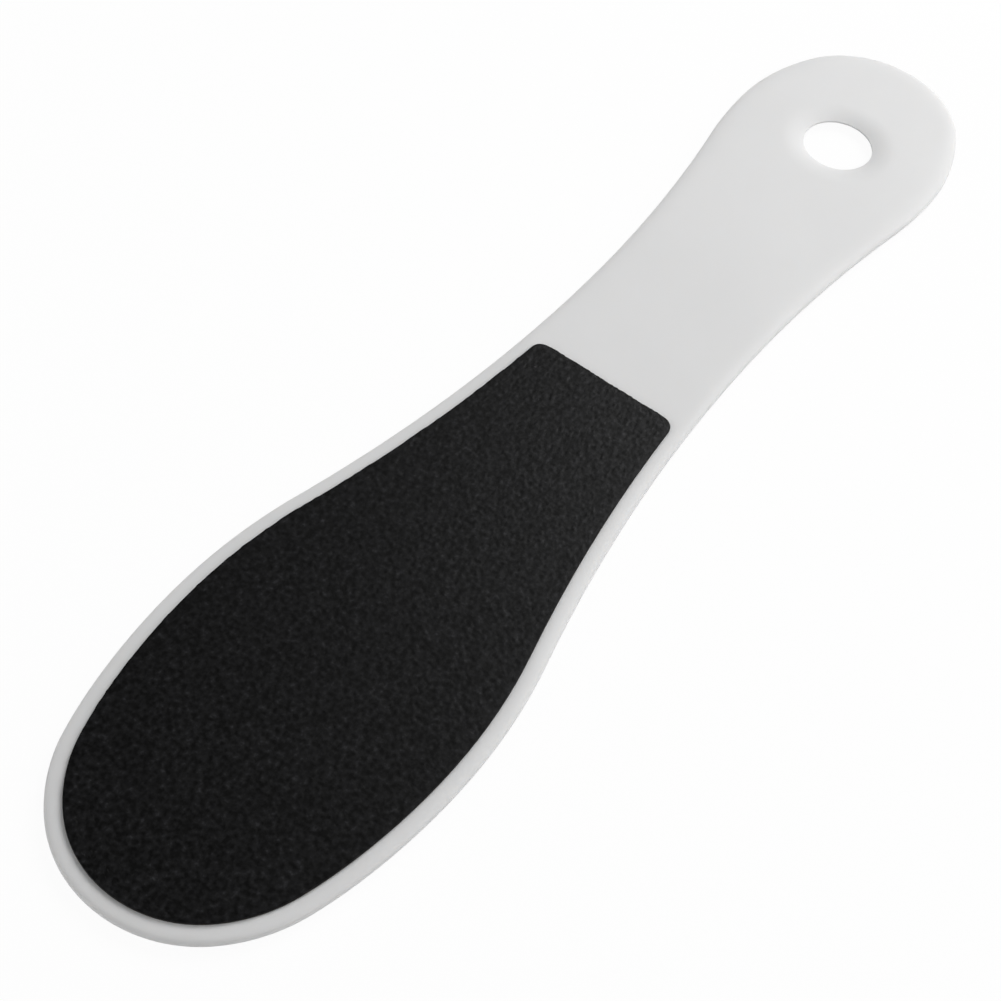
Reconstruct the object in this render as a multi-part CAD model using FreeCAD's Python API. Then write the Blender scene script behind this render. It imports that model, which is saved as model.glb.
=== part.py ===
import FreeCAD, Part
import os

# Double-sided foot file: a flat moulded paddle with an abrasive sheet glued to each face of its blade.
# Millimetres. +X runs from the tip of the blade to the end of the handle, +Y across and +Z up.
# The origin lies under the middle of the length, on the surface that the file lies on.
# Stations are distances along the paddle, measured from the tip of the blade.

# Paddle in plan: the runs along its length and the widths where they meet
TIP_LENGTH = 54.5  # tip to the widest part of the blade
TAPER_LENGTH = 105.0  # widest part of the blade to the neck
GRIP_LENGTH = 64.5  # neck to the widest part of the handle
END_LENGTH = 31.0  # widest part of the handle to its rounded end
BLADE_WIDTH = 60.0
NECK_WIDTH = 35.0
HANDLE_WIDTH = 46.0

# Shoulder of the blade, where the round tip turns into the flank: its station as a share of the
# length of the tip, its half width as a share of the blade's, its slope as a share of their ratio
SHOULDER_STATION_SHARE = 0.37
SHOULDER_WIDTH_SHARE = 0.84
SHOULDER_SLOPE_SHARE = 0.56

# Each run of the outline is a pair of tangent arcs, set by how far the first one's tangent reaches,
# as a share of the straight distance between the ends of the run
TIP_TANGENT_SHARE = 0.32
FLANK_TANGENT_SHARE = 0.14
TAPER_TANGENT_SHARE = 0.125
GRIP_TANGENT_SHARE = 0.39
END_TANGENT_SHARE = 0.28

# Paddle in section: both rims are rounded down to a narrow land at the parting line of the mould
THICKNESS = 2.0
EDGE_LAND = 0.4

# Hanging hole through the handle, sunk on both faces down to its own land. A round blends each sink
# into the face, with a radius that is a share of the largest that the sink has room for.
HOLE_DIAMETER = 14.5
HOLE_END_DISTANCE = 30.0  # centre of the hole to the end of the handle
HOLE_LAND = 0.4
HOLE_SINK_WIDTH = 2.6
HOLE_BLEND_SHARE = 0.9

# Abrasive sheets: the flat rim left bare around each one, its straight end and its layers
SHEET_RIM_WIDTH = 2.1
SHEET_NECK_DISTANCE = 21.5  # straight end of the sheet to the neck
SHEET_CORNER_RADIUS = 2.5
ADHESIVE_THICKNESS = 0.1
BACKING_THICKNESS = 0.3
COARSE_GRIT_THICKNESS = 0.3
FINE_GRIT_THICKNESS = 0.2

# One overrun serves every cut, and one tolerance every search for an edge
OVERRUN = 1.0
MATCH_TOLERANCE = 0.001

# Stations, radii and heights that follow from the sizes above
BLADE_STATION = TIP_LENGTH
NECK_STATION = BLADE_STATION + TAPER_LENGTH
HANDLE_STATION = NECK_STATION + GRIP_LENGTH
LENGTH = HANDLE_STATION + END_LENGTH
HOLE_STATION = LENGTH - HOLE_END_DISTANCE
SHEET_END_STATION = NECK_STATION - SHEET_NECK_DISTANCE
EDGE_RADIUS = (THICKNESS - EDGE_LAND) / 2
HOLE_SINK_DEPTH = (THICKNESS - HOLE_LAND) / 2
BODY_BOTTOM = FINE_GRIT_THICKNESS + BACKING_THICKNESS + ADHESIVE_THICKNESS
BODY_TOP = BODY_BOTTOM + THICKNESS
BODY_MIDDLE = BODY_BOTTOM + THICKNESS / 2
ALONG = FreeCAD.Vector(1, 0, 0)
ACROSS = FreeCAD.Vector(0, 1, 0)
UP = FreeCAD.Vector(0, 0, 1)


def plan_point(station, across, height=0):
    """Return the point at a station along the paddle, a distance across it and a height."""
    return FreeCAD.Vector(station - LENGTH / 2, across, height)


def arc_joint(start, leaving, end, arriving, tangent_share):
    """Return the point and the direction where a pair of tangent arcs meets.

    The first arc leaves the start along one direction, and the second arrives at the end along
    the other. The tangent of the second arc is as long as it must be for the two to meet in line.
    """
    chord = end - start
    first = tangent_share * chord.Length
    spare = chord.dot(chord) / 2 - first * chord.dot(leaving)
    second = spare / (chord.dot(arriving) + first * (1 - leaving.dot(arriving)))
    corner = start + leaving * first
    direction = (end - arriving * second - corner).normalize()
    return corner + direction * first, direction


def outline_points():
    """Return one side of the outline, from tip to end, as points with the direction at each."""
    half_blade = BLADE_WIDTH / 2
    shoulder_station = SHOULDER_STATION_SHARE * TIP_LENGTH
    shoulder_slope = SHOULDER_SLOPE_SHARE * half_blade / TIP_LENGTH
    shoulder_direction = (ALONG + ACROSS * shoulder_slope).normalize()
    stops = [
        (plan_point(0, 0), ACROSS),
        (plan_point(shoulder_station, SHOULDER_WIDTH_SHARE * half_blade), shoulder_direction),
        (plan_point(BLADE_STATION, half_blade), ALONG),
        (plan_point(NECK_STATION, NECK_WIDTH / 2), ALONG),
        (plan_point(HANDLE_STATION, HANDLE_WIDTH / 2), ALONG),
        (plan_point(LENGTH, 0), -ACROSS),
    ]
    tangent_shares = [
        TIP_TANGENT_SHARE,
        FLANK_TANGENT_SHARE,
        TAPER_TANGENT_SHARE,
        GRIP_TANGENT_SHARE,
        END_TANGENT_SHARE,
    ]
    points = stops[:1]
    for before, after, tangent_share in zip(stops, stops[1:], tangent_shares):
        points.append(arc_joint(*before, *after, tangent_share))
        points.append(after)
    return points


def arc_edge(start, leaving, end):
    """Return the arc that leaves one point along a direction and runs to another point."""
    chord = end - start
    left = UP.cross(leaving)
    centre = start + left * (chord.dot(chord) / (2 * chord.dot(left)))
    middle = centre + ((start + end) / 2 - centre).normalize() * (start - centre).Length
    return Part.Arc(start, middle, end).toShape()


def outline_slab(inset, bottom, top):
    """Return a flat slab of the paddle's outline, drawn in evenly by an inset, between two heights."""
    edges = []
    for side in (1, -1):
        placed = []
        for point, direction in outline_points():
            inward = direction.cross(UP)
            drawn_in = point + inward * inset
            place = FreeCAD.Vector(drawn_in.x, side * drawn_in.y, bottom)
            placed.append((place, FreeCAD.Vector(direction.x, side * direction.y, 0)))
        for (start, leaving), (end, _) in zip(placed, placed[1:]):
            edges.append(arc_edge(start, leaving, end))
    wire = Part.Wire(Part.sortEdges(edges)[0])
    return Part.Face(wire).extrude(UP * (top - bottom))


def rim_edges(shape):
    """Return the edges that lie level, around the upper and lower faces of a slab."""
    return [edge for edge in shape.Edges if edge.BoundBox.ZLength < MATCH_TOLERANCE]


def is_hole_rim(edge):
    """Tell whether an edge lies around the hanging hole, on the upper or the lower face."""
    centre = edge.BoundBox.Center
    around_hole = (centre - plan_point(HOLE_STATION, 0, centre.z)).Length < MATCH_TOLERANCE
    from_face = abs(abs(centre.z - BODY_MIDDLE) - THICKNESS / 2)
    return around_hole and from_face < MATCH_TOLERANCE


def hole_blend_radius():
    """Return the radius of the round between the sink and the face.

    The largest is the one whose tangent is as long as the slope of the sink.
    """
    slope_length = (HOLE_SINK_DEPTH**2 + HOLE_SINK_WIDTH**2) ** 0.5
    largest = HOLE_SINK_DEPTH * slope_length / (slope_length - HOLE_SINK_WIDTH)
    return HOLE_BLEND_SHARE * largest


def make_hole_drill():
    """Return the drill for the hanging hole: a land, with a sink above and below it."""
    land_radius = HOLE_DIAMETER / 2
    drill = Part.makeCylinder(
        land_radius,
        THICKNESS + 2 * OVERRUN,
        plan_point(HOLE_STATION, 0, BODY_BOTTOM - OVERRUN),
        UP,
    )
    height = HOLE_SINK_DEPTH + OVERRUN
    wide_radius = land_radius + HOLE_SINK_WIDTH * height / HOLE_SINK_DEPTH
    for side in (1, -1):
        place = plan_point(HOLE_STATION, 0, BODY_MIDDLE + side * HOLE_LAND / 2)
        drill = drill.fuse(Part.makeCone(land_radius, wide_radius, height, place, UP * side))
    return drill


def make_paddle_body():
    """Return the moulded paddle: blade, neck and handle in one piece, with its hanging hole."""
    slab = outline_slab(0, BODY_BOTTOM, BODY_TOP)
    rounded = slab.makeFillet(EDGE_RADIUS, rim_edges(slab))
    drilled = rounded.cut(make_hole_drill())
    hole_rims = [edge for edge in rim_edges(drilled) if is_hole_rim(edge)]
    return drilled.makeFillet(hole_blend_radius(), hole_rims)


def is_sheet_corner(edge):
    """Tell whether an edge stands upright at the straight end of a sheet."""
    box = edge.BoundBox
    upright = box.XLength + box.YLength < MATCH_TOLERANCE
    return upright and abs(box.XMax - plan_point(SHEET_END_STATION, 0).x) < MATCH_TOLERANCE


def make_sheet_layer(bottom, top):
    """Return one layer of an abrasive sheet, cut straight across before the neck.

    It follows the outline of the blade on the flat of the face, clear of the rounded rim.
    """
    slab = outline_slab(EDGE_RADIUS + SHEET_RIM_WIDTH, bottom, top)
    offcut = Part.makeBox(
        LENGTH,
        BLADE_WIDTH,
        top - bottom + 2 * OVERRUN,
        plan_point(SHEET_END_STATION, -BLADE_WIDTH / 2, bottom - OVERRUN),
    )
    trimmed = slab.cut(offcut)
    corners = [edge for edge in trimmed.Edges if is_sheet_corner(edge)]
    return trimmed.makeFillet(SHEET_CORNER_RADIUS, corners)


def make_sheets():
    """Return the layers of both sheets by name, stacked outwards from the faces of the paddle."""
    layers = {}
    grit_thicknesses = {"coarse": COARSE_GRIT_THICKNESS, "fine": FINE_GRIT_THICKNESS}
    for grade, grit_thickness in grit_thicknesses.items():
        stack = {
            "adhesive_film": ADHESIVE_THICKNESS,
            "backing_sheet": BACKING_THICKNESS,
            "grit_coat": grit_thickness,
        }
        inner = 0
        for layer, thickness in stack.items():
            outer = inner + thickness
            if grade == "coarse":
                solid = make_sheet_layer(BODY_TOP + inner, BODY_TOP + outer)
            else:
                solid = make_sheet_layer(BODY_BOTTOM - outer, BODY_BOTTOM - inner)
            layers[f"{grade}_{layer}"] = solid
            inner = outer
    return layers


pieces = {"paddle_body": make_paddle_body()}
pieces.update(make_sheets())

os.makedirs("parts", exist_ok=True)
for name, solid in pieces.items():
    solid.exportStep(f"parts/{name}.step")
    box = solid.BoundBox
    size = f"{box.XLength:.2f} x {box.YLength:.2f} x {box.ZLength:.2f} mm"
    print(f"{name}: {size}, {solid.Volume:.1f} mm3, valid {solid.isValid()}")
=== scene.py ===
import logging
import math
from dataclasses import dataclass, field
from enum import Enum
from typing import Any

import bmesh
import bpy
import numpy as np
from mathutils import Matrix, Vector


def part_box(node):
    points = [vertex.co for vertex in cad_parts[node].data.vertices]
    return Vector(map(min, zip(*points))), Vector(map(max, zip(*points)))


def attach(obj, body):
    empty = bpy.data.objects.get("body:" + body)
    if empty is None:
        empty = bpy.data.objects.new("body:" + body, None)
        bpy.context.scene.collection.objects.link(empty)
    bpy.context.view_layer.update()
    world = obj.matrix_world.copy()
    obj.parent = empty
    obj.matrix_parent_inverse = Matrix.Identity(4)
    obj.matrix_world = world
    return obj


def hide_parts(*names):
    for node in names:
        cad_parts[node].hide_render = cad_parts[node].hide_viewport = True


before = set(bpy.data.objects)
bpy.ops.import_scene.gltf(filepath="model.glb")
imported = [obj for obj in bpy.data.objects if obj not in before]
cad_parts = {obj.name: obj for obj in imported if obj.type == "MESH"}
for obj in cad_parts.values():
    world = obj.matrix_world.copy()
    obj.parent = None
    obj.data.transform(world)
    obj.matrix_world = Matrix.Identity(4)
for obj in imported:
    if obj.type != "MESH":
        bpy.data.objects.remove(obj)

# Looks of a double-sided foot file: a white moulded paddle with a black abrasive sheet on each face.
# Metres, in the frame of the solids: +X from the tip of the blade to the end of the handle, +Z up.

LOG = logging.getLogger("foot_file")
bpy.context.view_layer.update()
MILLIMETRE = 0.001
WELD_DISTANCE = 0.0002 * MILLIMETRE
MIRROR = np.array([1.0, -1.0])


class Grade(Enum):
    """The two abrasive sheets: which face each one is on."""

    COARSE = "coarse"
    FINE = "fine"

    @property
    def outward(self) -> int:
        """Return the direction along Z that the sheet faces."""
        return 1 if self is Grade.COARSE else -1


def linear(hex_colour: str) -> tuple[float, float, float, float]:
    """Turn an sRGB hex colour into linear light.

    Args:
        hex_colour: colour written as #RRGGBB.

    Returns:
        Red, green, blue and an alpha of 1.
    """
    srgb = np.array([int(hex_colour[k:k + 2], 16) for k in (1, 3, 5)]) / 255
    light = np.where(srgb <= 0.04045, srgb / 12.92, ((srgb + 0.055) / 1.055) ** 2.4)
    return (*light.tolist(), 1.0)


def add_node(
    tree: bpy.types.NodeTree,
    kind: str,
    settings: dict[str, Any] | None = None,
    values: dict[str | int, Any] | None = None,
    links: dict[str | int, bpy.types.NodeSocket] | None = None,
) -> bpy.types.Node:
    """Add a node with its settings and links.

    Args:
        tree: node tree that takes the node.
        kind: type name of the node.
        settings: properties of the node by name.
        values: fixed values of its inputs, by name or number.
        links: sockets that feed its inputs, by name or number.

    Returns:
        The new node.
    """
    node = tree.nodes.new(kind)
    for name, value in (settings or {}).items():
        setattr(node, name, value)
    for key, value in (values or {}).items():
        node.inputs[key].default_value = value
    for key, socket in (links or {}).items():
        tree.links.new(socket, node.inputs[key])
    return node


def add_noise(
    tree: bpy.types.NodeTree,
    place: bpy.types.NodeSocket,
    size: float,
    detail: float,
    roughness: float = 0.5,
) -> bpy.types.NodeSocket:
    """Add a soft noise.

    Args:
        tree: node tree that takes the noise.
        place: socket with the place on the piece.
        size: size of the largest blots.
        detail: number of finer layers, each with blots half as large.
        roughness: strength of each finer layer, as a share of the one before.

    Returns:
        A socket with the noise, from 0 to 1.
    """
    noise = add_node(
        tree,
        "ShaderNodeTexNoise",
        values={"Scale": 1 / size, "Detail": detail, "Roughness": roughness},
        links={"Vector": place},
    )
    return noise.outputs["Fac"]


def add_blend(
    tree: bpy.types.NodeTree, first: str, second: str, share: bpy.types.NodeSocket
) -> bpy.types.NodeSocket:
    """Add a blend of two colours.

    Args:
        tree: node tree that takes the blend.
        first: colour where the share is 0.
        second: colour where the share is 1.
        share: socket with the share of the second colour.

    Returns:
        A socket with the colour.
    """
    # The node repeats its inputs for each kind of data: 6, 7 and output 2 are those for colours
    blend = add_node(
        tree,
        "ShaderNodeMix",
        settings={"data_type": "RGBA"},
        values={6: linear(first), 7: linear(second)},
        links={"Factor": share},
    )
    return blend.outputs[2]


def add_range(
    tree: bpy.types.NodeTree,
    value: bpy.types.NodeSocket,
    levels: tuple[float, float],
    results: tuple[float, float],
) -> bpy.types.NodeSocket:
    """Add a straight change from one range of values to another.

    Args:
        tree: node tree that takes the change.
        value: socket with the value.
        levels: the two ends of the first range.
        results: what they turn into.

    Returns:
        A socket with the result.
    """
    change = add_node(
        tree,
        "ShaderNodeMapRange",
        values={
            "From Min": levels[0],
            "From Max": levels[1],
            "To Min": results[0],
            "To Max": results[1],
        },
        links={"Value": value},
    )
    return change.outputs["Result"]


def add_bump(
    tree: bpy.types.NodeTree, height: bpy.types.NodeSocket, strength: float, depth: float
) -> bpy.types.NodeSocket:
    """Add a fine bump that only bends the light.

    Args:
        tree: node tree that takes the bump.
        height: socket with the height, from 0 to 1.
        strength: share of the bump that shows.
        depth: depth of the bump.

    Returns:
        A socket with the bent normal.
    """
    bump = add_node(
        tree,
        "ShaderNodeBump",
        values={"Strength": strength, "Distance": depth},
        links={"Height": height},
    )
    return bump.outputs["Normal"]


def start_material(name: str) -> tuple[bpy.types.Material, bpy.types.NodeSocket]:
    """Start a material whose patterns are fixed to the piece.

    Args:
        name: name of the material.

    Returns:
        The material, and a socket with the place on the piece.
    """
    material = bpy.data.materials.new(name)
    material.use_nodes = True
    place = add_node(material.node_tree, "ShaderNodeTexCoord").outputs["Object"]
    return material, place


def set_shader(
    material: bpy.types.Material,
    values: dict[str, Any],
    links: dict[str, bpy.types.NodeSocket],
) -> None:
    """Set the inputs of a material's shader.

    Args:
        material: the material.
        values: fixed values of the inputs by name.
        links: sockets that feed the inputs by name.
    """
    shader = material.node_tree.nodes["Principled BSDF"]
    for name, value in values.items():
        shader.inputs[name].default_value = value
    for name, socket in links.items():
        material.node_tree.links.new(socket, shader.inputs[name])


@dataclass(frozen=True)
class Patch:
    """A piece of surface: points and the four-sided faces between them."""

    points: np.ndarray
    quads: np.ndarray


def grid_patch(points: np.ndarray, wrap: bool = False) -> Patch:
    """Join a grid of points into a patch.

    Args:
        points: array of rows, columns and coordinates.
        wrap: whether the last column joins the first.

    Returns:
        The patch, with one face between each four neighbours.
    """
    rows, columns = points.shape[:2]
    index = np.arange(rows * columns).reshape(rows, columns)
    after = np.roll(index, -1, axis=1)
    last = columns if wrap else columns - 1
    corners = (index[:-1, :last], index[1:, :last], after[1:, :last], after[:-1, :last])
    quads = np.stack([corner.ravel() for corner in corners], axis=1)
    return Patch(points.reshape(-1, 3), quads)


def weld(name: str, patches: list[Patch], sharp_angle: float) -> bpy.types.Object:
    """Join patches into one closed piece with outward faces.

    Args:
        name: name of the piece.
        patches: patches that meet along shared points.
        sharp_angle: angle in degrees above which an edge stays crisp.

    Returns:
        The new object, at the origin.
    """
    starts = np.cumsum([0] + [len(patch.points) for patch in patches[:-1]])
    points = np.concatenate([patch.points for patch in patches])
    quads = np.concatenate([patch.quads + start for patch, start in zip(patches, starts)])
    mesh = bpy.data.meshes.new(name)
    mesh.from_pydata(points.tolist(), [], quads.tolist())
    shell = bmesh.new()
    shell.from_mesh(mesh)
    bmesh.ops.remove_doubles(shell, verts=shell.verts, dist=WELD_DISTANCE)
    bmesh.ops.recalc_face_normals(shell, faces=shell.faces)
    shell.to_mesh(mesh)
    shell.free()
    mesh.polygons.foreach_set("use_smooth", np.ones(len(mesh.polygons), dtype=bool))
    mesh.set_sharp_from_angle(angle=math.radians(sharp_angle))
    piece = bpy.data.objects.new(name, mesh)
    bpy.context.scene.collection.objects.link(piece)
    return piece


@dataclass(frozen=True)
class PaddleOutline:
    """Plan outline of the paddle: runs between named stations, each a pair of tangent arcs."""

    tip_length: float = 0.0545
    taper_length: float = 0.105
    grip_length: float = 0.0645
    end_length: float = 0.031
    blade_width: float = 0.060
    neck_width: float = 0.035
    handle_width: float = 0.046
    shoulder_station_share: float = 0.37
    shoulder_width_share: float = 0.84
    shoulder_slope_share: float = 0.56
    tangent_shares: tuple[float, ...] = (0.32, 0.14, 0.125, 0.39, 0.28)

    @property
    def length(self) -> float:
        """Return the length of the paddle."""
        return self.tip_length + self.taper_length + self.grip_length + self.end_length

    def stops(self) -> list[tuple[np.ndarray, np.ndarray]]:
        """Return the points of one side between its runs, with the direction at each."""
        half_blade = self.blade_width / 2
        neck = self.tip_length + self.taper_length
        handle = neck + self.grip_length
        slope = self.shoulder_slope_share * half_blade / self.tip_length
        shoulder = (
            self.shoulder_station_share * self.tip_length,
            self.shoulder_width_share * half_blade,
        )
        rows = [
            ((0, 0), (0, 1)),
            (shoulder, (1, slope)),
            ((self.tip_length, half_blade), (1, 0)),
            ((neck, self.neck_width / 2), (1, 0)),
            ((handle, self.handle_width / 2), (1, 0)),
            ((self.length, 0), (0, -1)),
        ]
        places = [np.array(place, dtype=float) - (self.length / 2, 0) for place, _ in rows]
        ways = [np.array(way, dtype=float) / math.hypot(*way) for _, way in rows]
        return list(zip(places, ways))

    def side(self, spacing: float) -> tuple[np.ndarray, np.ndarray]:
        """Sample one side of the outline from the tip to the end.

        Each run has two arcs. The first one's tangent is a share of the chord between the ends of
        the run, and the second's is as long as it must be for the two tangents to meet in line.

        Args:
            spacing: distance between points.

        Returns:
            The points and the outward normals, one row each.
        """
        stops = self.stops()
        joints = stops[:1]
        for (start, leaving), (end, arriving), share in zip(stops, stops[1:], self.tangent_shares):
            chord = end - start
            first = share * np.linalg.norm(chord)
            spare = chord @ chord / 2 - first * (chord @ leaving)
            second = spare / (chord @ arriving + first * (1 - leaving @ arriving))
            corner = start + leaving * first
            way = end - arriving * second - corner
            way = way / np.linalg.norm(way)
            joints += [(corner + way * first, way), (end, arriving)]
        points, normals = [], []
        for (start, way), (end, _) in zip(joints, joints[1:]):
            arc_points, arc_normals = self.arc(start, way, end, spacing)
            points.append(arc_points)
            normals.append(arc_normals)
        points.append(joints[-1][0][None])
        normals.append(np.array([[1.0, 0.0]]))
        return np.concatenate(points), np.concatenate(normals)

    @staticmethod
    def arc(
        start: np.ndarray, way: np.ndarray, end: np.ndarray, spacing: float
    ) -> tuple[np.ndarray, np.ndarray]:
        """Sample an arc that leaves a point along a direction and runs to another point.

        Its signed radius is the chord squared over twice the chord's part across the direction.

        Args:
            start: first point.
            way: direction of travel there.
            end: last point, which is left out.
            spacing: distance between points.

        Returns:
            The points, and the normals on the left of the travel, which point outwards.
        """
        chord = end - start
        left = np.array([-way[1], way[0]])
        radius = chord @ chord / (2 * (chord @ left))
        turn = 2 * math.asin(np.linalg.norm(chord) / (2 * radius))
        count = max(2, math.ceil(abs(turn * radius) / spacing))
        angles = np.arange(count) / count * turn
        normals = np.cos(angles)[:, None] * left - np.sin(angles)[:, None] * way
        return start + radius * (left - normals), normals


@dataclass
class MouldedPaddle:
    """The white moulding: blade, neck and handle in one piece with rounded rims and a hanging hole."""

    outline: PaddleOutline
    edge_land: float = 0.4 * MILLIMETRE
    edge_fullness: float = 2.6
    blade_rim_width: float = 2.4 * MILLIMETRE
    handle_rim_width: float = 4.2 * MILLIMETRE
    rim_change: tuple[float, float] = (12 * MILLIMETRE, 45 * MILLIMETRE)
    hole_diameter: float = 14.5 * MILLIMETRE
    hole_end_distance: float = 30.0 * MILLIMETRE
    hole_land: float = 0.4 * MILLIMETRE
    hole_sink_width: float = 2.6 * MILLIMETRE
    hole_blend_share: float = 0.9
    spacing: float = 0.6 * MILLIMETRE
    round_steps: int = 17
    columns: int = 33
    rings: int = 15
    ring_crowding: float = 1.5
    ring_start: float = 3.0
    sharp_angle: float = 60.0
    bottom: float = field(init=False)
    top: float = field(init=False)

    def __post_init__(self) -> None:
        """Take the heights of the two faces from the solid."""
        low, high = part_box("paddle_body")
        self.bottom = low.z
        self.top = high.z

    @property
    def hole_centre(self) -> float:
        """Return the place of the hole along X."""
        return self.outline.length / 2 - self.hole_end_distance

    def both_faces(self, drawn_in: np.ndarray, height: np.ndarray) -> tuple[np.ndarray, np.ndarray]:
        """Mirror the upper half of a rim's section to the lower half.

        Args:
            drawn_in: distances from the land, from the upper face down to the land.
            height: heights above the middle of the thickness.

        Returns:
            The distances and the heights of the whole section, from face to face.
        """
        middle = (self.top + self.bottom) / 2
        return (
            np.concatenate([drawn_in, drawn_in[::-1]]),
            middle + np.concatenate([height, -height[::-1]]),
        )

    def edge_profile(self) -> tuple[np.ndarray, np.ndarray]:
        """Work out the section of the outer rim.

        A quarter of a superellipse falls from each face to the land: the shares of its width and of
        its fall, each raised to the fullness, add up to 1. So it leaves the face softly and turns
        tightly at the land.

        Returns:
            Distances from the land as shares of the rim's width, and heights.
        """
        angles = np.linspace(math.pi / 2, 0, self.round_steps)
        fall = (self.top - self.bottom - self.edge_land) / 2
        out = np.clip(np.cos(angles), 0, 1) ** (2 / self.edge_fullness)
        up = np.sin(angles) ** (2 / self.edge_fullness)
        return self.both_faces(1 - out, self.edge_land / 2 + fall * up)

    def hole_profile(self) -> tuple[np.ndarray, np.ndarray]:
        """Work out the section of the hole's rim.

        A round leaves each face level and turns into the straight slope of a sink, which runs down
        to the land.

        Returns:
            Distances from the land, and heights.
        """
        depth = (self.top - self.bottom - self.hole_land) / 2
        slope_length = math.hypot(depth, self.hole_sink_width)
        half_turn = (slope_length - self.hole_sink_width) / depth
        radius = self.hole_blend_share * slope_length / half_turn
        angles = np.linspace(0, 2 * math.atan(half_turn), self.round_steps)
        round_in = self.hole_sink_width + radius * (half_turn - np.sin(angles))
        round_height = self.hole_land / 2 + depth - radius * (1 - np.cos(angles))
        return self.both_faces(np.append(round_in, 0), np.append(round_height, self.hole_land / 2))

    def rim_width(self, x: np.ndarray) -> np.ndarray:
        """Work out how wide the outer rim is.

        It is narrow beside the sheets and widens along a smooth step to the handle.

        Args:
            x: places along the paddle.

        Returns:
            Widths of the rim.
        """
        start, stop = self.rim_change
        share = np.clip((x - start) / (stop - start), 0, 1)
        step = share ** 2 * (3 - 2 * share)
        return self.blade_rim_width + (self.handle_rim_width - self.blade_rim_width) * step

    def rim_patch(self, points: np.ndarray, normals: np.ndarray) -> Patch:
        """Lead the outer rim's section round both sides of the outline.

        Args:
            points: one side of the outline.
            normals: its outward normals.

        Returns:
            The rim as a closed strip.
        """
        loop = np.concatenate([points, points[-2:0:-1] * MIRROR])
        loop_normals = np.concatenate([normals, normals[-2:0:-1] * MIRROR])
        shares, heights = self.edge_profile()
        drawn_in = shares[:, None] * self.rim_width(loop[:, 0])
        plan = loop - drawn_in[:, :, None] * loop_normals
        return grid_patch(self.raised(plan, heights), wrap=True)

    @staticmethod
    def raised(plan: np.ndarray, heights: np.ndarray) -> np.ndarray:
        """Return a plan grid in space, with one height for each of its rows."""
        column = np.broadcast_to(heights[:, None, None], (*plan.shape[:2], 1))
        return np.concatenate([plan, column], axis=2)

    def build(self) -> bpy.types.Object:
        """Build the moulding and let it stand for its solid.

        Each flat face has two grids. Rows run across the blade and the neck, from rim to rim. Round
        the hole lie rings that spread from its rim to the border of the handle.

        Returns:
            The finished piece.
        """
        points, normals = self.outline.side(self.spacing)
        inner = points - normals * self.rim_width(points[:, 0])[:, None]
        hole_radius = self.hole_diameter / 2
        handle_start = self.hole_centre - self.ring_start * hole_radius
        split = int(np.searchsorted(inner[:, 0], handle_start))
        across = np.linspace(-1, 1, self.columns)
        blade_x = np.broadcast_to(inner[:split + 1, :1], (split + 1, self.columns))
        blade_y = inner[:split + 1, 1:] * across
        blade = np.stack([blade_x, blade_y], axis=2)

        hole_in, hole_heights = self.hole_profile()
        border = np.concatenate(
            [inner[split:], inner[-2:split - 1:-1] * MIRROR, blade[-1, 1:-1]]
        )
        centre = np.array([self.hole_centre, 0.0])
        bearing = np.arctan2(border[:, 1], border[:, 0] - self.hole_centre)
        spokes = np.stack([np.cos(bearing), np.sin(bearing)], axis=1)
        hole_plan = centre + (hole_radius + hole_in[:, None, None]) * spokes[None]
        reach = np.linspace(0, 1, self.rings)[:, None, None] ** self.ring_crowding
        handle = hole_plan[0] * (1 - reach) + border * reach

        patches = [
            self.rim_patch(points, normals),
            grid_patch(self.raised(hole_plan, hole_heights), wrap=True),
        ]
        for height in (self.top, self.bottom):
            patches.append(grid_patch(self.raised(blade, np.full(len(blade), height))))
            patches.append(
                grid_patch(self.raised(handle, np.full(len(handle), height)), wrap=True)
            )
        piece = weld("moulded_paddle", patches, self.sharp_angle)
        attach(piece, "root")
        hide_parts("paddle_body")
        return piece


@dataclass(frozen=True)
class GrainField:
    """Relief of abrasive grains packed side by side."""

    pitch: float
    seed: int
    cells: int = 97
    least_height: float = 0.4
    height_spread: float = 0.3
    tilt: float = 0.9

    def relief(self, x: np.ndarray, y: np.ndarray) -> np.ndarray:
        """Work out the height of the grains over a plane.

        The plane is divided into squares of one pitch, each with a grain at a random place in it.
        A point belongs to the grain whose centre is nearest. Its height is the grain's own, plus
        the grain's tilt times the distance from that centre, so each grain shows one flat facet.

        Args:
            x: places along the sheet.
            y: places across the sheet.

        Returns:
            Heights from 0, between grains, to 1 on the tallest peaks.
        """
        table = np.random.default_rng(self.seed).random((self.cells, self.cells, 5))
        u, v = x / self.pitch, y / self.pitch
        column, row = np.floor(u).astype(int), np.floor(v).astype(int)
        nearest = np.full(u.shape, np.inf)
        height = np.zeros(u.shape)
        for step_x in (-1, 0, 1):
            for step_y in (-1, 0, 1):
                cell = table[(column + step_x) % self.cells, (row + step_y) % self.cells]
                away_x = u - column - step_x - cell[..., 0]
                away_y = v - row - step_y - cell[..., 1]
                distance = away_x ** 2 + away_y ** 2
                lean = (cell[..., 2] - 0.5) * away_x + (cell[..., 3] - 0.5) * away_y
                grain = self.least_height + self.height_spread * cell[..., 4] + self.tilt * lean
                height = np.where(distance < nearest, grain, height)
                nearest = np.minimum(distance, nearest)
        return np.clip(height, 0, 1)


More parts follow.
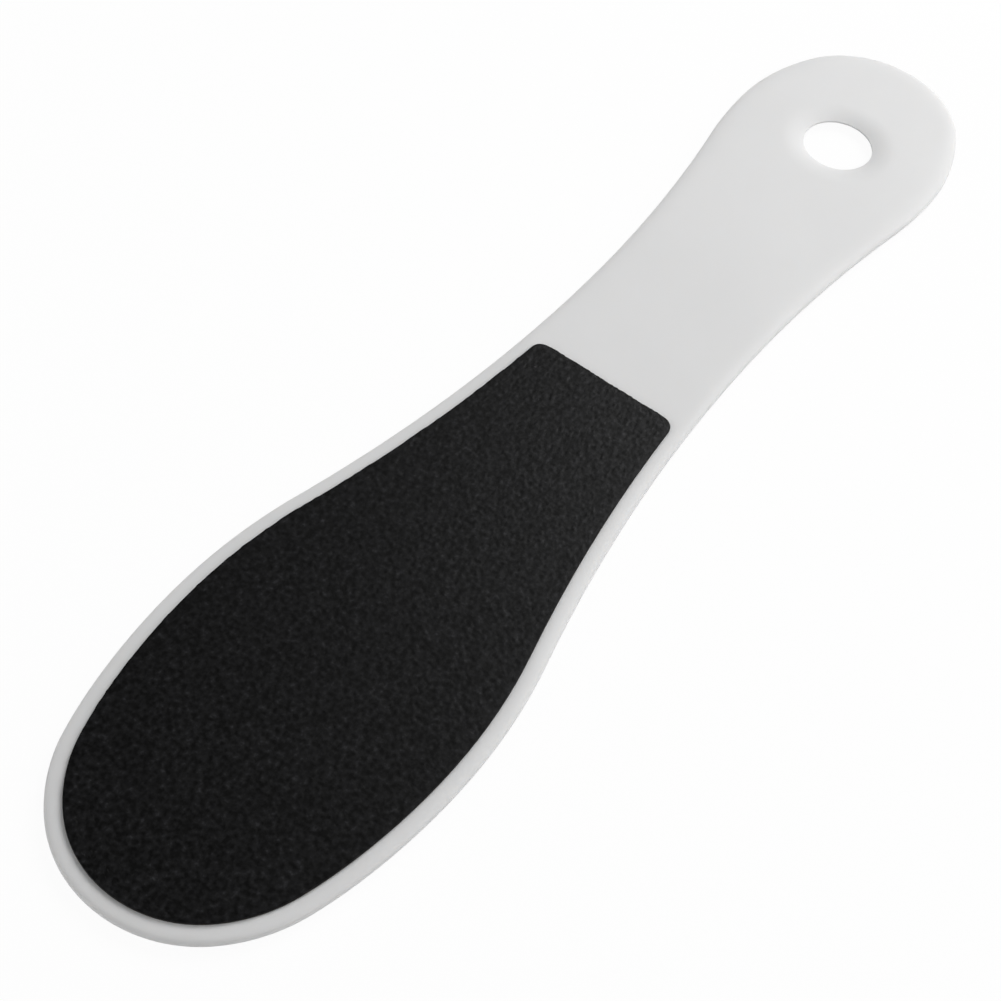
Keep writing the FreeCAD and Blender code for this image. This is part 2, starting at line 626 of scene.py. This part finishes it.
@dataclass
class AbrasiveSheet:
    """One glued sheet: its grit coat is built here, and its paper and adhesive are the solids."""

    grade: Grade
    outline: PaddleOutline
    grains: GrainField
    margin: float = 2.9 * MILLIMETRE
    corner_radius: float = 2.5 * MILLIMETRE
    spacing: float = 0.3 * MILLIMETRE
    edge_fray: float = 0.2 * MILLIMETRE
    fray_pitch: float = 1.1 * MILLIMETRE
    fray_count: int = 400
    end_fray_power: int = 8
    resin_share: float = 0.72
    edge_relief_share: float = 0.4
    corner_steps: int = 6
    sharp_angle: float = 75.0

    def border(self, end: float) -> np.ndarray:
        """Trace one side of the sheet from its tip to the end of its rounded corner.

        The side is the outline drawn in by the margin. The corner is an arc whose centre lies one
        radius inside both the side and the straight end.

        Args:
            end: place of the straight end along X.

        Returns:
            Points along the side, one row each.
        """
        points, normals = self.outline.side(self.spacing)
        inner = points - normals * (self.margin + self.corner_radius)
        past_tip = points[:, 0] > -self.outline.length / 4
        before_handle = points[:, 0] < self.outline.length / 4
        middle = past_tip & before_handle
        centre_x = end - self.corner_radius
        centre_y = np.interp(centre_x, inner[middle, 0], inner[middle, 1])
        facing = np.array(
            [np.interp(centre_x, inner[middle, 0], normals[middle, k]) for k in (0, 1)]
        )
        start = math.atan2(facing[1], facing[0])
        steps = max(self.corner_steps, math.ceil(start * self.corner_radius / self.spacing))
        angles = np.linspace(start, 0, steps)
        corner = np.stack([np.cos(angles), np.sin(angles)], axis=1) * self.corner_radius
        corner += (centre_x, centre_y)
        side = (points - normals * self.margin)[points[:, 0] < self.outline.length / 4]
        return np.concatenate([side[side[:, 0] < corner[0, 0] - self.spacing / 2], corner])

    def fray(self, along: np.ndarray, salt: int) -> np.ndarray:
        """Work out how far the cut edge is frayed inwards.

        Random values one fray pitch apart, joined by straight lines.

        Args:
            along: distance along the edge.
            salt: number that sets one edge apart from another.

        Returns:
            Distances inwards, from none to the full fray.
        """
        values = np.random.default_rng(self.grains.seed + salt).random(self.fray_count)
        places = np.arange(self.fray_count)
        return self.edge_fray * np.interp(along / self.fray_pitch, places, values)

    def build(self) -> bpy.types.Object:
        """Build the coat of grit and let it stand for its solid.

        Rows run across the sheet from one frayed edge to the other. The outer grid carries the
        relief of the grains, which is lower near the cut edge. A plain grid closes the coat against
        the paper, and a fan of faces joins that grid to the points along the straight end.

        Returns:
            The finished piece.
        """
        node = f"{self.grade.value}_grit_coat"
        low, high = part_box(node)
        border = self.border(high.x)
        run = np.concatenate([[0], np.cumsum(np.linalg.norm(np.diff(border, axis=0), axis=1))])
        columns = math.ceil((high.y - low.y) / self.spacing)
        across = np.linspace(-1, 1, columns)
        left = np.maximum(border[:, 1] - self.fray(run, 1), 0)
        right = np.maximum(border[:, 1] - self.fray(run, 2), 0)
        half = np.where(across > 0, left[:, None], right[:, None])
        y = half * across
        near_end = (run / run[-1])[:, None] ** self.end_fray_power
        x = border[:, :1] - self.fray((1 + across) * high.y, 4) * near_end

        thickness = high.z - low.z
        base = low.z if self.grade is Grade.COARSE else high.z
        edge = np.minimum(half - np.abs(y), high.x - x)
        bed = np.clip(edge / self.fray_pitch, 0, 1) ** 0.5
        relief_share = self.edge_relief_share + (1 - self.edge_relief_share) * bed
        relief = self.grains.relief(x, y) * relief_share
        rise = self.resin_share + (1 - self.resin_share) * relief
        top = np.dstack([x, y, base + self.grade.outward * thickness * rise])

        ends = [0, -1]
        floor = np.dstack([x[:, ends], y[:, ends], np.full((len(x), 2), base)])
        patches = [grid_patch(top), grid_patch(floor[:-1])]
        patches += [grid_patch(np.stack([top[:, k], floor[:, k]], axis=1)) for k in ends]
        end_foot = np.column_stack([x[-1], y[-1], np.full(columns, base)])
        fan = np.where(across[:, None] > 0, floor[-2, 1], floor[-2, 0])
        patches += [grid_patch(np.stack([row, end_foot])) for row in (top[-1], fan)]
        piece = weld(node.replace("coat", "surface"), patches, self.sharp_angle)
        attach(piece, "root")
        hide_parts(node)
        return piece


@dataclass(frozen=True)
class MouldedPolypropylene:
    """White polypropylene, moulded against lightly textured steel.

    It gives the eye a soft satin with no sharp reflections, slightly waxy at thin rims.
    """

    name: str = "moulded_polypropylene_white"
    colour: str = "#DFDFDF"
    mottle_colour: str = "#DBDBDB"
    mottle_size: float = 28 * MILLIMETRE
    texture_size: float = 0.45 * MILLIMETRE
    texture_strength: float = 0.06
    texture_depth: float = 0.05 * MILLIMETRE
    roughness: tuple[float, float] = (0.5, 0.6)
    ior: float = 1.49
    wax_share: float = 0.6
    wax_reach: tuple[float, float, float] = (1.0, 0.95, 0.9)
    wax_depth: float = 1.8 * MILLIMETRE

    def make(self) -> bpy.types.Material:
        """Make the material.

        Faint mottling follows the flow of the melt. The spark texture of the mould is drawn about
        twice its size, because the real one is too fine to see.

        Returns:
            The finished material.
        """
        material, place = start_material(self.name)
        tree = material.node_tree
        mottle = add_noise(tree, place, self.mottle_size, detail=3.0)
        texture = add_noise(tree, place, self.texture_size, detail=2.0, roughness=0.6)
        values = {
            "IOR": self.ior,
            "Subsurface Weight": self.wax_share,
            "Subsurface Radius": self.wax_reach,
            "Subsurface Scale": self.wax_depth,
        }
        links = {
            "Base Color": add_blend(tree, self.colour, self.mottle_colour, mottle),
            "Roughness": add_range(tree, mottle, (0.0, 1.0), self.roughness),
            "Normal": add_bump(tree, texture, self.texture_strength, self.texture_depth),
        }
        set_shader(material, values, links)
        return material


@dataclass(frozen=True)
class SiliconCarbideCoat:
    """Black silicon carbide grains set in black resin.

    It gives the eye a deep black with fine grey speckle, and a painted glint: the lightest clusters
    take a lighter grey that stands in for grains catching the light.
    """

    name: str
    grain_size: float
    resin_colour: str = "#010101"
    grain_colour: str = "#181819"
    # Painted glint: a lighter grey colour that stands in for the light that grains catch
    painted_glint_colour: str = "#2A2A2C"
    resin_level: float = 0.37
    grain_level: float = 0.63
    painted_glint_level: float = 0.78
    gloss_levels: tuple[float, float] = (0.3, 0.7)
    roughness: tuple[float, float] = (0.46, 0.36)
    specular: float = 0.1
    bump_strength: float = 0.1
    bump_share: float = 0.2

    def make(self) -> bpy.types.Material:
        """Make the material.

        Clusters of grains differ in grey and gloss. They are drawn several times the size of the
        real grains, which are too fine to be told apart from the camera.

        Returns:
            The finished material.
        """
        material, place = start_material(self.name)
        tree = material.node_tree
        grains = add_noise(tree, place, self.grain_size, detail=2.0, roughness=0.55)
        shades = add_node(tree, "ShaderNodeValToRGB", links={"Fac": grains})
        stops = shades.color_ramp.elements
        # The ramp runs from the resin through the grains to the painted glint at its top
        stops[0].position, stops[1].position = self.resin_level, self.painted_glint_level
        stops[0].color = linear(self.resin_colour)
        stops[1].color = linear(self.painted_glint_colour)
        middle = stops.new(self.grain_level)
        middle.color = linear(self.grain_colour)
        depth = self.bump_share * self.grain_size
        links = {
            "Base Color": shades.outputs["Color"],
            "Roughness": add_range(tree, grains, self.gloss_levels, self.roughness),
            "Normal": add_bump(tree, grains, self.bump_strength, depth),
        }
        set_shader(material, {"Specular IOR Level": self.specular}, links)
        return material


@dataclass(frozen=True)
class BackingPaper:
    """Heavy abrasive paper, soaked in dark latex: a matt charcoal edge with fine fibres."""

    name: str = "latex_paper_charcoal"
    colour: str = "#1E1E1F"
    fibre_colour: str = "#2C2B2A"
    fibre_size: float = 0.4 * MILLIMETRE
    fibre_stretch: tuple[float, float, float] = (0.3, 1.0, 1.0)
    fibre_strength: float = 0.3
    fibre_depth: float = 0.04 * MILLIMETRE
    roughness: float = 0.85
    specular: float = 0.25

    def make(self) -> bpy.types.Material:
        """Make the material.

        Fibres lie along the sheet as stretched noise.

        Returns:
            The finished material.
        """
        material, place = start_material(self.name)
        tree = material.node_tree
        stretched = add_node(
            tree,
            "ShaderNodeMapping",
            values={"Scale": self.fibre_stretch},
            links={"Vector": place},
        )
        fibres = add_noise(tree, stretched.outputs["Vector"], self.fibre_size, detail=4.0)
        values = {"Roughness": self.roughness, "Specular IOR Level": self.specular}
        links = {
            "Base Color": add_blend(tree, self.colour, self.fibre_colour, fibres),
            "Normal": add_bump(tree, fibres, self.fibre_strength, self.fibre_depth),
        }
        set_shader(material, values, links)
        return material


@dataclass(frozen=True)
class AcrylicAdhesive:
    """Dried acrylic adhesive: a thin greyish film, glossy and a little uneven at its cut edge."""

    name: str = "acrylic_adhesive_film"
    colour: str = "#6E6B64"
    thick_colour: str = "#57544D"
    blot_size: float = 1.5 * MILLIMETRE
    roughness: float = 0.3
    ior: float = 1.47

    def make(self) -> bpy.types.Material:
        """Make the material.

        The film is darker where it is thicker.

        Returns:
            The finished material.
        """
        material, place = start_material(self.name)
        tree = material.node_tree
        blots = add_noise(tree, place, self.blot_size, detail=2.0)
        links = {"Base Color": add_blend(tree, self.colour, self.thick_colour, blots)}
        set_shader(material, {"Roughness": self.roughness, "IOR": self.ior}, links)
        return material


@dataclass(frozen=True)
class Softbox:
    """A square studio lamp behind white cloth."""

    name: str
    place: tuple[float, float, float]
    size: float
    watts: float
    aim: tuple[float, float, float] = (0.0, 0.0, 0.0)

    def build(self) -> None:
        """Hang the lamp in its place, turned towards its aim."""
        lamp = bpy.data.lights.new(self.name, "AREA")
        lamp.shape = "SQUARE"
        lamp.size = self.size
        lamp.energy = self.watts
        holder = bpy.data.objects.new(self.name, lamp)
        holder.location = self.place
        way = Vector(self.aim) - Vector(self.place)
        holder.rotation_euler = way.to_track_quat("-Z", "Y").to_euler()
        bpy.context.scene.collection.objects.link(holder)


@dataclass
class Studio:
    """White floor, soft light and the camera."""

    floor_radius: float = 2.0
    wall_height: float = 1.5
    bend_steps: int = 17
    round_steps: int = 96
    sharp_angle: float = 60.0
    floor_colour: str = "#F4F4F4"
    shadow_share: float = 0.05
    ambient: float = 0.24
    camera_place: tuple[float, float, float] = (-0.23458, -0.109, 0.30385)
    camera_aim: tuple[float, float, float] = (-0.0239, -0.00074, 0.0016)
    camera_roll: float = 10.81
    camera_lens: float = 78.28
    camera_sensor: float = 36.0
    camera_clip: float = 0.01
    lamps: tuple[Softbox, ...] = (
        Softbox("key_softbox", place=(0.737, -0.078, 0.671), size=0.6, watts=7.3),
        Softbox("side_softbox", place=(0.302, -0.83, 0.469), size=0.5, watts=2.6),
        Softbox("fill_softbox", place=(-0.765, 0.442, 0.469), size=0.5, watts=2.0),
    )

    def seen_directly(self, tree: bpy.types.NodeTree) -> bpy.types.NodeSocket:
        """Add nodes that give 1 for rays that look at the background itself.

        Args:
            tree: node tree that takes the nodes.

        Returns:
            A socket that is 1 for camera, mirror and glass rays.
        """
        path = add_node(tree, "ShaderNodeLightPath").outputs
        mirror = add_node(
            tree,
            "ShaderNodeMath",
            settings={"operation": "MAXIMUM"},
            links={0: path["Is Glossy Ray"], 1: path["Is Transmission Ray"]},
        )
        seen = add_node(
            tree,
            "ShaderNodeMath",
            settings={"operation": "MAXIMUM"},
            links={0: path["Is Camera Ray"], 1: mirror.outputs[0]},
        )
        return seen.outputs[0]

    def sweep(self) -> np.ndarray:
        """Work out the paper sweep, a floor that bends up into a low wall all round.

        Its profile runs straight out from the middle and then along a quarter circle. The profile
        is turned about the upright axis.

        Returns:
            A grid of points: rows outwards, columns round the axis.
        """
        bend = np.linspace(0, math.pi / 2, self.bend_steps)
        reach = np.append(0, self.floor_radius + self.wall_height * np.sin(bend))[:, None]
        height = np.append(0, self.wall_height * (1 - np.cos(bend)))[:, None]
        around = np.linspace(0, 2 * math.pi, self.round_steps, endpoint=False)
        return np.dstack([reach * np.cos(around), reach * np.sin(around), height + 0 * around])

    def build_floor(self) -> None:
        """Lay a white floor that keeps a light shadow of the object."""
        floor = weld("floor", [grid_patch(self.sweep(), wrap=True)], self.sharp_angle)
        material = bpy.data.materials.new("white_paper_floor")
        material.use_nodes = True
        tree = material.node_tree
        tree.nodes.remove(tree.nodes["Principled BSDF"])
        paper = add_node(tree, "ShaderNodeBsdfDiffuse", values={"Color": linear(self.floor_colour)})
        white = add_node(tree, "ShaderNodeEmission", values={"Strength": 1.0})
        seen = add_node(
            tree,
            "ShaderNodeMath",
            settings={"operation": "MULTIPLY"},
            values={1: 1 - self.shadow_share},
            links={0: self.seen_directly(tree)},
        )
        mix = add_node(
            tree,
            "ShaderNodeMixShader",
            links={0: seen.outputs[0], 1: paper.outputs[0], 2: white.outputs[0]},
        )
        tree.links.new(mix.outputs[0], tree.nodes["Material Output"].inputs["Surface"])
        floor.data.materials.append(material)

    def build_world(self) -> None:
        """Fill the room with even light."""
        world = bpy.data.worlds.new("studio_room")
        bpy.context.scene.world = world
        world.use_nodes = True
        background = world.node_tree.nodes["Background"]
        background.inputs["Color"].default_value = linear("#FFFFFF")
        background.inputs["Strength"].default_value = self.ambient

    def build_camera(self) -> None:
        """Set the camera where the photograph was taken from."""
        camera = bpy.data.cameras.new("photo_camera")
        camera.lens = self.camera_lens
        camera.sensor_width = self.camera_sensor
        camera.clip_start = self.camera_clip
        holder = bpy.data.objects.new("photo_camera", camera)
        way = Vector(self.camera_aim) - Vector(self.camera_place)
        turn = way.to_track_quat("-Z", "Y").to_matrix().to_4x4()
        roll = Matrix.Rotation(math.radians(self.camera_roll), 4, "Z")
        holder.matrix_world = Matrix.Translation(self.camera_place) @ turn @ roll
        bpy.context.scene.collection.objects.link(holder)
        bpy.context.scene.camera = holder

    def build(self) -> None:
        """Set up the floor, the light and the camera."""
        self.build_floor()
        self.build_world()
        for lamp in self.lamps:
            lamp.build()
        self.build_camera()
        bpy.context.scene.view_settings.view_transform = "Standard"


def dress(piece: bpy.types.Object, material: bpy.types.Material) -> None:
    """Give a piece its one material and report it.

    Args:
        piece: a new piece or a carried-over solid.
        material: its finish.
    """
    piece.data.materials.clear()
    piece.data.materials.append(material)
    LOG.info("%s: %d faces, %s", piece.name, len(piece.data.polygons), material.name)


def main() -> None:
    """Build and dress every piece in order, then the studio."""
    logging.basicConfig(level=logging.INFO, format="%(name)s %(message)s")
    outline = PaddleOutline()
    dress(MouldedPaddle(outline).build(), MouldedPolypropylene().make())
    # Grains are drawn about four times their size: finer ones can't be told apart from the camera
    sheets = {
        Grade.COARSE: (
            GrainField(pitch=0.8 * MILLIMETRE, seed=11),
            SiliconCarbideCoat("silicon_carbide_coarse", grain_size=1.0 * MILLIMETRE),
        ),
        Grade.FINE: (
            GrainField(pitch=0.5 * MILLIMETRE, seed=23),
            SiliconCarbideCoat("silicon_carbide_fine", grain_size=0.6 * MILLIMETRE),
        ),
    }
    paper = BackingPaper().make()
    adhesive = AcrylicAdhesive().make()
    for grade, (grains, coat) in sheets.items():
        dress(AbrasiveSheet(grade, outline, grains).build(), coat.make())
        dress(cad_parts[f"{grade.value}_backing_sheet"], paper)
        dress(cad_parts[f"{grade.value}_adhesive_film"], adhesive)
    Studio().build()


if __name__ == "__main__":
    main()
